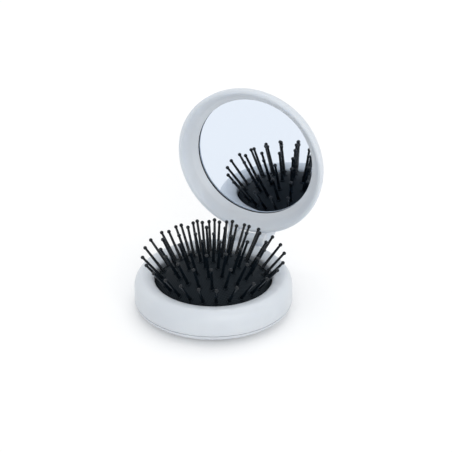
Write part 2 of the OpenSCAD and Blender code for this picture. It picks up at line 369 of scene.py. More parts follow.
def bevelled(mesh: Mesh, width: float, segments: int = 3, least_deg: float = 30.0) -> Mesh:
    """Rounds a mesh's sharp edges.

    Args:
        mesh: the mesh.
        width: the rounding's width in millimetres.
        segments: steps across it.
        least_deg: an edge that turns by less stays as it is.

    Returns:
        The new mesh.
    """
    obj = new_object("work", mesh)
    bevel = obj.modifiers.new("bevel", "BEVEL")
    bevel.width, bevel.segments, bevel.limit_method = width * MM, segments, "ANGLE"
    bevel.angle_limit, bevel.use_clamp_overlap = math.radians(least_deg), True
    return tidied(baked(obj, mesh.name))


def disc(name: str, r: float, z0: float, z1: float, ease: float) -> Mesh:
    """A flat round disc with eased edges."""
    return turned(name, oblong(0, r, z0, z1), ease, steps=3)


# ---- Shader maths ----


def feed(value: object, socket: NodeSocket) -> None:
    """Links a wire or an output into a socket, or sets a constant directly on it.

    Args:
        value: the wire, output or constant.
        socket: the input socket.
    """
    if isinstance(value, Wire):
        value = value.socket
    if isinstance(value, NodeSocket):
        socket.id_data.links.new(value, socket)
    else:
        socket.default_value = value


def add_node(tree: NodeTree, kind: str, settings: Mapping[str, object] | None = None,
             sockets: Mapping[str | int, object] | None = None) -> Node:
    """Adds a node to a tree.

    Args:
        tree: the tree.
        kind: the node's type.
        settings: its settings, which are set first.
        sockets: values or links of its input sockets, by name or number.

    Returns:
        The node.
    """
    node = tree.nodes.new(kind)
    for key, value in (settings or {}).items():
        setattr(node, key, value)
    for key, value in (sockets or {}).items():
        feed(value, node.inputs[key])
    return node


def operators(operation: str) -> tuple[Callable[["Wire", "Wire | float"], "Wire"], ...]:
    """An operator of Wire as a Math node, and its reflected form."""
    return (lambda self, other: self.math(operation, self, other),
            lambda self, other: self.math(operation, other, self))


class Wire:
    """A node's output socket that can be added, multiplied and so on in a material."""

    def __init__(self, socket: NodeSocket) -> None:
        """Wraps an output socket."""
        self.socket = socket
        self.tree = socket.id_data

    def math(self, operation: str, *values: "Wire | float") -> "Wire":
        """A Math node on some values."""
        node = add_node(self.tree, "ShaderNodeMath", {"operation": operation}, dict(enumerate(values)))
        return Wire(node.outputs[0])

    __add__, __radd__ = operators("ADD")
    __sub__, __rsub__ = operators("SUBTRACT")
    __mul__, __rmul__ = operators("MULTIPLY")
    __pow__, __rpow__ = operators("POWER")

    def __abs__(self) -> "Wire":
        """Its size without its sign."""
        return self.math("ABSOLUTE", self)

    def sine(self) -> "Wire":
        """Its sine."""
        return self.math("SINE", self)

    def largest(self, other: "Wire | float") -> "Wire":
        """The larger of it and another value."""
        return self.math("MAXIMUM", self, other)

    def between(self, low: float, high: float) -> "Wire":
        """0 at low and 1 at high, held inside those, with soft ends."""
        node = add_node(self.tree, "ShaderNodeMapRange", {"interpolation_type": "SMOOTHSTEP"},
                        {"From Min": low, "From Max": high, "Value": self})
        return Wire(node.outputs["Result"])


class Paint:
    """A principled material that is put together step by step."""

    def __init__(self, name: str, colour: Colour, roughness: float) -> None:
        """Starts a material.

        Args:
            name: its name.
            colour: its base colour.
            roughness: its roughness from 0 to 1.
        """
        self.material = bpy.data.materials.new(name)
        self.material.use_nodes = True
        self.tree = self.material.node_tree
        self.shader = self.tree.nodes["Principled BSDF"]
        self.colour = colour
        self.place = add_node(self.tree, "ShaderNodeTexCoord").outputs["Object"]
        self.set("Base Color", (*colour, 1.0))
        self.set("Roughness", roughness)

    def set(self, socket: str, value: object) -> None:
        """Sets a constant on one of the shader's sockets, or links a wire to it."""
        feed(value, self.shader.inputs[socket])

    def axis(self, letter: str) -> Wire:
        """One of the object coordinates, in metres."""
        return Wire(add_node(self.tree, "ShaderNodeSeparateXYZ", sockets={0: self.place}).outputs[letter])

    def noise(self, per_metre: float, detail: float = 3.0) -> Wire:
        """Smooth noise from 0 to 1, fixed to the object."""
        node = add_node(self.tree, "ShaderNodeTexNoise",
                        sockets={"Vector": self.place, "Scale": per_metre, "Detail": detail})
        return Wire(node.outputs["Fac"])

    def tint(self, share: Wire, other: Colour) -> None:
        """Mixes the base colour towards another one.

        Args:
            share: how much of the other one, from 0 to 1.
            other: that colour.
        """
        node = add_node(self.tree, "ShaderNodeMix", {"data_type": "RGBA"},
                        {"Factor": share, "A": (*self.colour, 1.0), "B": (*other, 1.0)})
        self.set("Base Color", node.outputs["Result"])

    def bump(self, height: Wire, distance: float, strength: float = 1.0) -> None:
        """Bumps the surface.

        Args:
            height: relief from 0 to 1.
            distance: the relief's real depth in metres.
            strength: share of the relief that shows.
        """
        node = add_node(self.tree, "ShaderNodeBump",
                        sockets={"Distance": distance, "Strength": strength, "Height": height})
        self.set("Normal", node.outputs["Normal"])


# ---- Finishes ----


@dataclass(frozen=True)
class Finish:
    """A procedural finish. Noise is counted per metre, and depths are in metres."""

    name: str
    colour: Colour
    roughness: float
    grain: float = 800.0
    grain_rough: float = 0.12  # how much the roughness varies with the grain
    relief: float = 0.0
    relief_depth: float = 0.00002
    relief_detail: float = 2.0
    relief_share: float = 0.4
    constants: tuple[tuple[str, float], ...] = ()

    def dress(self, paint: Paint) -> None:
        """Adds what varies over the surface.

        Args:
            paint: the material to add it to.
        """
        if self.grain_rough:
            paint.set("Roughness", paint.noise(self.grain) * self.grain_rough + self.roughness)
        if self.relief:
            paint.bump(paint.noise(self.relief, self.relief_detail), self.relief_depth, self.relief_share)

    def build(self) -> Material:
        """The finish as a material.

        Returns:
            The material.
        """
        paint = Paint(self.name, self.colour, self.roughness)
        for socket, value in self.constants:
            paint.set(socket, value)
        self.dress(paint)
        return paint.material


@dataclass(frozen=True)
class Frosted(Finish):
    """Satin moulded plastic that lets a little light in, with a faint cloud in its colour."""

    light: Colour = (0.68, 0.72, 0.765)
    cloud: float = 60.0
    cloud_from: float = 0.35
    cloud_to: float = 0.75
    scatter: tuple[float, float, float] = (0.9, 1.0, 1.1)

    def dress(self, paint: Paint) -> None:
        """Adds the cloud, the uneven gloss and the fine grain.

        Args:
            paint: the material to add it to.
        """
        paint.set("Subsurface Radius", self.scatter)
        paint.tint(paint.noise(self.cloud).between(self.cloud_from, self.cloud_to), self.light)
        super().dress(paint)


@dataclass(frozen=True)
class DiamondRubber(Finish):
    """Black rubber with a fine raised diamond pattern."""

    # colour of the painted highlight on the diamonds' raised tops
    light: Colour = (0.026, 0.034, 0.042)
    pitch: float = 0.0017
    soften: float = 0.7
    highlight_from: float = 0.5
    highlight_to: float = 0.95

    def dress(self, paint: Paint) -> None:
        """Adds the diamonds, which are smoother on top and painted lighter there, a painted highlight on their raised
        tops.

        Args:
            paint: the material to add it to.
        """
        x, y = paint.axis("X"), paint.axis("Y")
        waves = 2 * math.pi / self.pitch
        diamonds = (abs(((x + y) * waves).sine()) * abs(((x - y) * waves).sine())) ** self.soften
        # painted highlight: the raised tops of the diamonds are tinted lighter
        paint.tint(diamonds.between(self.highlight_from, self.highlight_to), self.light)
        paint.set("Roughness", diamonds * self.grain_rough + self.roughness)
        paint.bump(diamonds, self.relief_depth, self.relief_share)


FINISHES: dict[Slot, Finish] = {
    Slot.FROSTED: Frosted("frosted", (0.64, 0.68, 0.73), 0.32, grain=900.0, relief=5200.0, relief_share=0.35,
                          constants=(("Subsurface Weight", 0.35), ("Subsurface Scale", 0.003),
                                     ("Coat Weight", 0.12), ("Coat Roughness", 0.25))),
    Slot.MIRROR: Finish("mirror", (0.775, 0.835, 0.92), 0.006, grain=400.0, grain_rough=0.012,
                        constants=(("Metallic", 1.0),)),
    Slot.FOAM: Finish("foam", (0.22, 0.235, 0.26), 0.9, grain_rough=0.0, relief=3000.0, relief_depth=0.0001,
                      relief_detail=3.0, relief_share=0.6),
    Slot.RUBBER: DiamondRubber("rubber", (0.0045, 0.0075, 0.0105), 0.62, grain_rough=-0.16, relief_depth=0.00008,
                               relief_share=0.6, constants=(("Specular IOR Level", 0.07),)),
    Slot.NYLON: Finish("nylon", (0.003, 0.006, 0.0095), 0.16, grain_rough=0.14, relief=1600.0,
                       relief_depth=0.00003, relief_detail=1.0, relief_share=0.3,
                       constants=(("Specular IOR Level", 0.28),)),
    Slot.BLACK: Finish("black_plastic", (0.016, 0.016, 0.018), 0.36, grain=700.0, relief=4000.0),
    Slot.STEEL: Finish("steel", (0.58, 0.58, 0.60), 0.22, grain=2500.0, grain_rough=0.15,
                       constants=(("Metallic", 1.0),)),
}


# ---- Repeated pieces ----


@dataclass(frozen=True)
class Ring:
    """One ring of pins."""

    count: int
    start: float  # angle of the first pin, in degrees
    groups: int = 1


@dataclass(frozen=True)
class Foot:
    """Where a pin or a collar stands on the dome."""

    place: tuple[float, float, float]
    axis: tuple[float, float, float]


class Scatter:
    """A geometry-node group that stands copies of a piece on points, square to each point's axis."""

    AXIS = "stand_axis"
    INPUTS = (("Piece", "NodeSocketObject"), ("Lean", "NodeSocketFloat"), ("Seed", "NodeSocketInt"),
              ("Material", "NodeSocketMaterial"))

    def __init__(self) -> None:
        """Makes the group and its inputs."""
        self.group = bpy.data.node_groups.new("stand_on_points", "GeometryNodeTree")
        face = self.group.interface
        face.new_socket("Geometry", in_out="INPUT", socket_type="NodeSocketGeometry")
        face.new_socket("Geometry", in_out="OUTPUT", socket_type="NodeSocketGeometry")
        self.keys = {name: face.new_socket(name, in_out="INPUT", socket_type=kind).identifier
                     for name, kind in self.INPUTS}
        self._build()

    def _build(self) -> None:
        """Adds the group's nodes."""
        node = partial(add_node, self.group)
        given = node("NodeGroupInput").outputs
        piece = node("GeometryNodeObjectInfo", {}, {"Object": given["Piece"]})
        axis = node("GeometryNodeInputNamedAttribute", {"data_type": "FLOAT_VECTOR"}, {"Name": self.AXIS})
        upright = node("FunctionNodeAlignRotationToVector", {"axis": "Z"}, {"Vector": axis.outputs["Attribute"]})
        span = node("ShaderNodeCombineXYZ", {}, {"X": given["Lean"], "Y": given["Lean"]})
        opposite = node("ShaderNodeVectorMath", {"operation": "SCALE"}, {0: span.outputs[0], "Scale": -1.0})
        lean = node("FunctionNodeRandomValue", {"data_type": "FLOAT_VECTOR"},
                    {"Min": opposite.outputs[0], "Max": span.outputs[0], "Seed": given["Seed"]})
        turn = node("FunctionNodeEulerToRotation", {}, {0: lean.outputs["Value"]})
        both = node("FunctionNodeRotateRotation", {"rotation_space": "LOCAL"},
                    {"Rotation": upright.outputs[0], "Rotate By": turn.outputs[0]})
        stand = node("GeometryNodeInstanceOnPoints", {}, {
            "Points": given["Geometry"], "Instance": piece.outputs["Geometry"], "Rotation": both.outputs[0]})
        real = node("GeometryNodeRealizeInstances", {}, {0: stand.outputs[0]})
        paint = node("GeometryNodeSetMaterial", {}, {"Geometry": real.outputs[0], "Material": given["Material"]})
        node("NodeGroupOutput", {}, {0: paint.outputs[0]})

    def run(self, name: str, piece: Mesh, feet: Sequence[Foot], material: Material,
            lean: float = 0.0, seed: int = 1) -> Mesh:
        """Stands copies of a mesh on points.

        Args:
            name: the new mesh's name.
            piece: the mesh to copy, standing on the origin along +Z.
            feet: where the copies stand.
            material: their material.
            lean: largest random lean, in radians.
            seed: seed of that lean.

        Returns:
            One plain mesh with all the copies.
        """
        points = bpy.data.meshes.new(name)
        points.from_pydata([[c * MM for c in f.place] for f in feet], [], [])
        axis = points.attributes.new(self.AXIS, "FLOAT_VECTOR", "POINT")
        axis.data.foreach_set("vector", [c for f in feet for c in f.axis])
        obj, source = new_object(name, points), new_object("source", piece)
        nodes = obj.modifiers.new("stand", "NODES")
        nodes.node_group = self.group
        for key, value in (("Piece", source), ("Lean", lean), ("Seed", seed), ("Material", material)):
            nodes[self.keys[key]] = value
        made = baked(obj, name)
        bpy.data.objects.remove(source)
        if self.AXIS in made.attributes:
            made.attributes.remove(made.attributes[self.AXIS])
        return made


class Kit:
    """What the sub-assemblies build with: the scatter group and one material for each slot."""

    def __init__(self) -> None:
        """Makes every material and the scatter group."""
        self.paints = {slot: finish.build() for slot, finish in FINISHES.items()}
        self.scatter = Scatter()


@dataclass(frozen=True)
class Squash:
    """The joint, height and kept share of a piece's flattening, which this script stores but does not apply."""

    joint: str
    anchor_z: float
    keep: float  # share of its height that is left at the joint's limit


@dataclass
class Piece:
    """A finished piece. It stands for the CAD node of its own name unless another is given."""

    name: str
    mesh: Mesh
    slot: Slot
    body: str
    node: str = ""
    squash: Squash | None = None

    def dress(self, kit: Kit) -> Object:
        """Puts the piece in the scene with its material, on its body and in place of its CAD nodes.

        Args:
            kit: where the materials are.

        Returns:
            The object.
        """
        self.mesh.materials.clear()
        self.mesh.materials.append(kit.paints[self.slot])
        self.mesh.polygons.foreach_set("material_index", [0] * len(self.mesh.polygons))
        obj = new_object(f"{self.name}_look", self.mesh)
        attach(obj, self.body)
        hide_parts(self.node or self.name)
        if self.squash:
            self.squash.anchor_z * MM
            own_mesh(obj)
        return obj


# ---- Sub-assemblies ----


@dataclass
class Case:
    """Outer sizes of the base and the fits that the sub-assemblies share, in millimetres."""

    r: float = 32.8
    height: float = 15.3
    rim_w: float = 8.3
    opening_drop: float = 2.0
    lip_w: float = 3.0
    wall: float = 1.7
    groove: float = 0.25  # left open between two shells that are pressed together
    spigot_t: float = 0.9
    fit: float = 0.15
    closing_gap: float = 0.3
    corner: float = 0.15  # rounding of moulded corners

    def __post_init__(self) -> None:
        """Works out what follows from the sizes."""
        self.opening_r = self.r - self.rim_w  # radius of the opening that the pad fills
        self.opening_z = self.height - self.opening_drop  # height of the opening's edge
        self.lip_r = self.opening_r + self.lip_w  # radius to which the bezel reaches over the pad's flange
        self.lid_z = self.height + self.closing_gap  # height of the closed lid's rim


@dataclass
class Hinge:
    """The hinge: one knuckle on the base, two on the lid, and the pin through them."""

    case: Case
    out: float = 2.3
    down: float = 1.0
    open_deg: float = 91.7
    knuckle_r: float = 2.6
    base_half: float = 4.3  # half the length of the base's knuckle
    half: float = 8.3  # half the length of all three
    gap: float = 0.2
    play: float = 0.35
    lug_flare: float = 2.7
    lug_h: float = 5.5
    lug_sink: float = 0.3
    base_ease: float = 0.2
    ease: float = 0.22
    pin_r: float = 0.8
    pin_play: float = 0.05
    pin_back: float = 0.2
    pin_ease: float = 0.15
    saddle_deg: float = 30.0  # where a lug leaves the knuckle's round

    def __post_init__(self) -> None:
        """Works out what follows from the sizes."""
        self.y = self.case.r + self.out  # place of the axis behind the brush's middle
        self.z = self.case.lid_z - self.down

    def opened(self, mesh: Mesh) -> Mesh:
        """Swings a mesh from the lid's closed place to where the lid stands open."""
        axis = Matrix.Translation(Vector((0, self.y, self.z)) * MM)
        return placed(mesh, axis @ Matrix.Rotation(math.radians(-self.open_deg), 4, "X") @ axis.inverted())

    def knuckle(self, x0: float, x1: float) -> Mesh:
        """A knuckle's round barrel, with its ends eased."""
        return bevelled(along_x("knuckle", circle(self.y, self.z, self.knuckle_r), x0, x1), self.ease)

    def pocket(self, x0: float, x1: float) -> Mesh:
        """The room that a knuckle turns in."""
        return along_x("pocket", circle(self.y, self.z, self.knuckle_r + self.play), x0, x1)

    def bore(self, play: float = 0.0) -> Mesh:
        """The hinge pin's hole through all knuckles."""
        return along_x("bore", circle(self.y, self.z, self.pin_r + play, 48), -self.case.r, self.case.r)

    def lug_side(self, foot_y: float, foot_in: float, down: bool) -> list[Point]:
        """Side outline of a lug as (y, z): round the knuckle, then out to the wall.

        Args:
            foot_y: where its foot meets the wall, from the axis.
            foot_in: how far the foot reaches in, from the axis.
            down: True for a lug that hangs below the axis.

        Returns:
            The outline.
        """
        sign, k = (-1 if down else 1), self.knuckle_r
        saddle = (k * math.cos(math.radians(self.saddle_deg)), sign * k * math.sin(math.radians(self.saddle_deg)))
        outline = [(-k, 0), (k, 0), saddle, (foot_y, sign * self.lug_h), (foot_in, sign * self.lug_h)]
        return [(self.y + y, self.z + z) for y, z in outline]

    def pin(self) -> Mesh:
        """The steel pin through the knuckles.

        Returns:
            The mesh.
        """
        half = self.half - self.pin_back
        pin = disc("hinge_pin", self.pin_r, -half, half, self.pin_ease)
        return placed(pin, Matrix.Translation(Vector((0, self.y, self.z)) * MM)
                      @ Matrix.Rotation(math.radians(90), 4, "Y"))


@dataclass
class Lid:
    """The hinged lid: ring, shell, and the mirror between them. Depths count from the closed lid's rim."""

    case: Case
    hinge: Hinge
    inset: float = 0.1
    height: float = 8.9
    belly: float = 0.6
    edge_w: float = 7.6
    split: float = 5.0
    crest_in: float = 1.5
    crest_deg: float = 55.0
    rim_w: float = 6.6
    crease_in: float = 2.8
    crease_depth: float = 3.9
    crease_ease: tuple[float, float] = (0.82, 0.15)  # where the bend begins and ends, as shares of its sides
    crest_ease: float = 0.78
    taper: float = 0.4
    spigot_h: float = 1.1
    roof_play: float = 0.2
    corner_w: float = 0.8
    corner_h: float = 1.1
    corner: float = 0.12
    lip_edge: float = 0.35
    seat_play: float = 0.3
    back_t: float = 1.1
    mirror_lap: float = 0.75
    mirror_t: float = 1.2
    mirror_gap: float = 0.1
    silver_depth: float = 0.65  # where the silvering appears to lie behind the front of the glass
    painted_shade_depths: tuple[float, float] = (0.06, 0.01)  # depths of the black ring of painted shade under the lip, in front of the silvering
    backing_t: float = 0.2
    backing_in: float = 1.8
    backing_ease: float = 0.05

    def __post_init__(self) -> None:
        """Works out what follows from the sizes."""
        self.r = self.case.r - self.inset  # the lid's largest radius
        self.open_r = self.r - self.rim_w  # radius of the opening in front of the mirror
        self.in_r = self.r - self.case.wall - self.taper  # radius inside the ring's wall
        self.spigot_r = self.in_r - self.case.fit  # radius of the shell's spigot
        self.mirror_r = self.open_r + self.mirror_lap
        self.inside = self.height - self.back_t  # depth of the inside of the back
        self.mirror_depth = self.inside - self.backing_t - self.mirror_t  # depth of the front of the glass
        self.mirror_z = self.case.lid_z + self.mirror_depth  # height of the front of the glass when the lid is closed
        self.lip_depth = self.mirror_depth - self.mirror_gap  # depth of the lip that holds the mirror

    def side_r(self, depth: float) -> float:
        """Radius of the lid's side at a depth past its widest."""
        up = (depth - self.belly) / (self.height - self.belly)
        return self.r - self.edge_w * (1 - math.sqrt(1 - up * up))

    def turned(self, name: str, outline: Sequence[Point], corner: float = 0.0) -> Mesh:
        """Turns an outline of radii and depths, in the lid's closed place."""
        return turned(name, [(r, self.case.lid_z + depth) for r, depth in outline], corner)

    def ring(self) -> Mesh:
        """The ring round the mirror in the lid's closed place, before its hinge is cut.

        Returns:
            The mesh.
        """
        bottom, roof = self.split - self.case.groove / 2, self.split - self.spigot_h - self.roof_play
        crest_r, back_h = self.r - self.crest_in, self.height - self.belly
        rebate_r = self.spigot_r - self.case.spigot_t - self.case.fit
        edge, crest = (self.open_r, self.lip_depth - self.lip_edge), (crest_r, 0.0)
        crease = (crest_r - self.crease_in, self.crease_depth)
        outer = arc(crest_r, self.belly, self.crest_in, self.belly, -self.crest_deg, 0, 20)
        outline = [(self.open_r, self.lip_depth), edge]
        outline += eased(between(edge, crease, self.crease_ease[0]), crease,
                         between(crease, crest, self.crease_ease[1]))
        outline += eased(between(crease, crest, self.crest_ease), crest, outer[0])[:-1] + outer
        outline += arc(self.r - self.edge_w, self.belly, self.edge_w, back_h, 0,
                       edge_angle(bottom - self.belly, back_h), 24)[1:]
        outline += [(self.in_r, bottom), (self.in_r, roof), (rebate_r, roof),
                    (rebate_r, self.lip_depth - self.corner_h), (rebate_r - self.corner_w, self.lip_depth)]
        return self.turned("lid_bezel", outline, self.corner)

    def lug(self, sign: int) -> Mesh:
        """One of the two hinge lugs, which widens towards the lid, in the lid's closed place.

        Args:
            sign: 1 for the lug on the right, -1 for the one on the left.

        Returns:
            The mesh.
        """
        hinge, wall_r = self.hinge, self.r - self.case.wall
        near, far = hinge.base_half + hinge.gap, hinge.half + hinge.lug_flare
        foot_y = self.side_r(hinge.lug_h - hinge.down) - hinge.y - hinge.lug_sink
        block = along_x("lid_lug", hinge.lug_side(foot_y, foot_y - hinge.knuckle_r, False),
                        *sorted((sign * near, sign * far)))
        front = [(near, 0), (hinge.half, 0), (hinge.half, 0.15 * hinge.lug_h), (far, 0.8 * hinge.lug_h),
                 (far, hinge.lug_h), (near, hinge.lug_h)]
        keep = prism("keep", [[(sign * x, y, hinge.z + z) for x, z in front]
                              for y in (hinge.y - 3 * hinge.knuckle_r, hinge.y + 2 * hinge.knuckle_r)])
        inside = self.turned("inside", oblong(0, wall_r, 0, self.height))
        return bevelled(carved(carved(block, [(Cut.WITHIN, keep)]), [(Cut.AWAY, inside)]), hinge.ease)

    def bezel(self) -> Mesh:
        """The ring round the mirror, with its two hinge lugs, standing open.

        Returns:
            The mesh.
        """
        hinge = self.hinge
        clear, near = hinge.base_half + hinge.play, hinge.base_half + hinge.gap
        return hinge.opened(carved(self.ring(), [
            (Cut.AWAY, hinge.pocket(-clear, clear)),
            (Cut.ON, hinge.knuckle(near, hinge.half)),
            (Cut.ON, hinge.knuckle(-hinge.half, -near)),
            (Cut.ON, self.lug(1)),
            (Cut.ON, self.lug(-1)),
            (Cut.AWAY, hinge.bore()),
        ]))

    def shell(self) -> Mesh:
        """The lid's back with the mirror's seat, standing open.

        Returns:
            The mesh.
        """
        top, back_h = self.split + self.case.groove / 2, self.height - self.belly
        spigot_in, spigot_z = self.spigot_r - self.case.spigot_t, self.split - self.spigot_h
        seat_r = self.mirror_r + self.seat_play
        seat_out = seat_r + self.case.spigot_t
        outline = [(0, self.inside), (seat_r, self.inside), (seat_r, self.lip_depth), (seat_out, self.lip_depth),
                   (seat_out, self.inside - self.case.wall / 2),
                   (spigot_in, self.lip_depth - self.corner_h + self.roof_play), (spigot_in, spigot_z),
                   (self.spigot_r, spigot_z), (self.spigot_r, top)]
        outline += arc(self.r - self.edge_w, self.belly, self.edge_w, back_h, edge_angle(top - self.belly, back_h),
                       90, 32) + [(0, self.height)]
        return self.hinge.opened(self.turned("lid_shell", outline, self.case.corner))

    def glass(self) -> Mesh:
        """The mirror, with its silvered face where it appears to lie, standing open."""
        face, back = self.mirror_depth + self.silver_depth, self.mirror_depth + self.mirror_t
        # the corners stay sharp: an eased one would bend the flat face's normals, and with them what it reflects
        return self.hinge.opened(self.turned("mirror_glass", oblong(0, self.mirror_r, face, back)))

    def painted_shade_ring(self) -> Mesh:
        """A black ring of painted shade under the lip, standing in for the shadowed gap that the mirror reflects
        there.
        """
        near, far = (self.mirror_depth + self.silver_depth - line for line in self.painted_shade_depths)
        return self.hinge.opened(self.turned("mirror_edge", oblong(self.open_r, self.mirror_r, near, far)))

    def backing(self) -> Mesh:
        """The foam disc behind the mirror, standing open."""
        z0 = self.mirror_z + self.mirror_t
        return self.hinge.opened(disc("mirror_backing", self.mirror_r - self.backing_in, z0, z0 + self.backing_t,
                                      self.backing_ease))

    def pieces(self) -> list[Piece]:
        """The lid's pieces, which all turn with it."""
        body = Body.LID.value
        return [Piece("lid_bezel", self.bezel(), Slot.FROSTED, body),
                Piece("lid_shell", self.shell(), Slot.FROSTED, body),
                Piece("mirror_glass", self.glass(), Slot.MIRROR, body),
                # a black ring of painted shade under the mirror's lip, in front of its silvering
                Piece("mirror_edge", self.painted_shade_ring(), Slot.BLACK, body, "mirror_glass"),
                Piece("mirror_backing", self.backing(), Slot.FOAM, body),
                Piece("hinge_pin", self.hinge.pin(), Slot.STEEL, body)]


@dataclass
class Cushion:
    """The domed rubber pad and the pins that stand in it."""

    case: Case
    lid: Lid
    rise: float = 7.8
    sink: float = 2.5
    pad_t: float = 1.2
    edge_play: float = 0.2
    edge_ease: tuple[float, float] = (0.35, 0.05)  # the dome ends short of its edge, and the edge stands out
    pad_corner: float = 0.3
    flange_corner: float = 0.2
    collar_r: float = 1.25
    collar_h: float = 0.4
    collar_spread: float = 1.12
    collar_corner: float = 0.22
    hole_play: float = 0.02
    flat_keep: float = 0.07
    rings: tuple[Ring, ...] = (Ring(1, 0), Ring(6, 16), Ring(12, 13.5), Ring(18, 12, 6), Ring(24, 12, 12))
    pin_len: float = 14.0
    pin_r: float = 0.65
    pin_tip_r: float = 0.5
    pin_corner: float = 0.14
    ball_r: float = 0.8
    head_r: float = 1.3
    head_t: float = 0.7
    head_play: float = 0.05
    pin_edge: float = 3.6
    tip_gap: float = 0.5
    lean_deg: float = 2.0
    first_seed: int = 11

    def __post_init__(self) -> None:
        """Works out what follows from the sizes."""
        self.rim_z = self.case.opening_z - self.sink  # height of the pad's flange
        self.edge_r = self.case.opening_r - self.edge_play
        high = self.rise + self.sink
        self.dome_r = (self.edge_r**2 + high**2) / (2 * high)  # radius of the sphere that the dome is a part of
        self.dome_z = self.case.opening_z + self.rise - self.dome_r  # height of that sphere's centre
        # distance from one ring of pins to the next
        self.ring_pitch = (self.case.opening_r - self.pin_edge) / (len(self.rings) - 1)
        # height of the flattened pad, with the pins' tips just short of the closed mirror
        self.flat_z = self.lid.mirror_z - self.tip_gap - self.pin_len
        self.travel = self.case.opening_z + self.rise - self.flat_z  # how far the pad's middle drops

    def feet(self, ring: int, first: int = 0, count: int | None = None) -> list[Foot]:
        """Places on the dome of neighbours in one ring.

        Args:
            ring: the ring's number, from the centre.
            first: number of the first one.
            count: how many, or None for the whole ring.

        Returns:
            Their places and the dome's outward direction there.
        """
        whole = self.rings[ring]
        made = []
        for i in range(first, first + (whole.count if count is None else count)):
            turn = math.radians(whole.start + i * 360 / whole.count)
            side = ring * self.ring_pitch / self.dome_r
            axis = (side * math.cos(turn), side * math.sin(turn), math.sqrt(1 - side * side))
            place = (self.dome_r * axis[0], self.dome_r * axis[1], self.dome_z + self.dome_r * axis[2])
            made.append(Foot(place, axis))
        return made

    def collar(self) -> Mesh:
        """The raised rubber collar round a pin, on the origin.

        Returns:
            The mesh.
        """
        hole, foot_r = self.pin_r + self.hole_play, self.collar_r * self.collar_spread
        outline = [(hole, -self.pad_t / 2), (foot_r, -self.pad_t / 2), (self.collar_r, self.collar_h),
                   (hole, self.collar_h)]
        return turned("collar", outline, self.collar_corner, 28)

    def dome(self, kit: Kit) -> Mesh:
        """The domed part of the pad with a collar round each pin.

        Args:
            kit: the materials and the scatter group.

        Returns:
            The mesh.
        """
        short, out = self.edge_ease
        inner_r, low_z = self.dome_r - self.pad_t, self.rim_z - self.pad_t / 2
        edge = math.degrees(math.asin((self.edge_r - short) / self.dome_r))
        inner_edge = math.degrees(math.asin((self.edge_r - self.pad_t) / inner_r))
        outline = [(0, self.dome_z + self.dome_r)]
        outline += arc(0, self.dome_z, self.dome_r, self.dome_r, 90, 90 - edge, 72)[1:]
        outline += [(self.edge_r + out, self.rim_z), (self.edge_r + out, low_z), (self.edge_r - self.pad_t, low_z)]
        outline += arc(0, self.dome_z, inner_r, inner_r, 90 - inner_edge, 90, 60)[:-1] + [(0, self.dome_z + inner_r)]
        dome = turned("pad", outline, self.pad_corner, least_deg=20)
        dome.materials.append(kit.paints[Slot.RUBBER])
        every = [foot for ring in range(len(self.rings)) for foot in self.feet(ring)]
        pad = merged("rubber_pad", [dome, kit.scatter.run("collars", self.collar(), every, kit.paints[Slot.RUBBER])])
        pad.shade_smooth()
        pad.set_sharp_from_angle(angle=math.radians(50))
        return pad

    def flange(self) -> Mesh:
        """The pad's flat flange, which stays clamped under the bezel.

        Returns:
            The mesh.
        """
        r0, r1, z1 = self.edge_r - self.pad_t, self.case.lip_r - self.case.fit, self.rim_z
        z0 = z1 - self.pad_t
        return turned("pad_flange", oblong(r0, r1, z0, z1), self.flange_corner)

    def pin(self) -> Mesh:
        """A pin on the origin: flat head under the pad, tapered shaft, ball tip.

        Returns:
            The mesh.
        """
        under = self.pad_t + self.head_play
        neck = math.degrees(math.asin(self.pin_tip_r / self.ball_r))
        outline = [(0, -under - self.head_t), (self.head_r, -under - self.head_t), (self.head_r, -under),
                   (self.pin_r, -under), (self.pin_r, self.collar_h)]
        outline += arc(0, self.pin_len - self.ball_r, self.ball_r, self.ball_r, -90 + neck, 90, 12)[:-1]
        return turned("pin", outline + [(0, self.pin_len)], self.pin_corner, 20, steps=3)

    def pad_pieces(self, kit: Kit) -> list[Piece]:
        """The pad in two pieces: a dome, which carries the lid fold's squash setting, and a flange.

        Args:
            kit: the materials and the scatter group.

        Returns:
            The pieces.
        """
        flat = Squash("lid_fold", self.flat_z - self.pad_t / 2, self.flat_keep)
        return [Piece("rubber_pad", self.dome(kit), Slot.RUBBER, Body.BASE.value, squash=flat),
                Piece("pad_flange", self.flange(), Slot.RUBBER, Body.BASE.value, "rubber_pad")]

    def pin_pieces(self, kit: Kit) -> list[Piece]:
        """The pins, one piece for each body that moves them.

        Args:
            kit: the materials and the scatter group.

        Returns:
            The pieces.
        """
        pin, lean = self.pin(), math.radians(self.lean_deg)
        groups = [("centre_pins", Body.BUTTON.value, self.feet(0) + self.feet(1)),
                  ("middle_pins", Body.MIDDLE.value, self.feet(2))]
        for ring, prefix in ((3, "inner_pins"), (4, "outer_pins")):
            count = self.rings[ring].count // self.rings[ring].groups
            for g in range(self.rings[ring].groups):
                name = f"{prefix}_{g + 1}"
                groups.append((name, name, self.feet(ring, g * count, count)))
        return [Piece(name, kit.scatter.run(name, pin.copy(), feet, kit.paints[Slot.NYLON], lean, self.first_seed + k),
                      Slot.NYLON, body) for k, (name, body, feet) in enumerate(groups)]


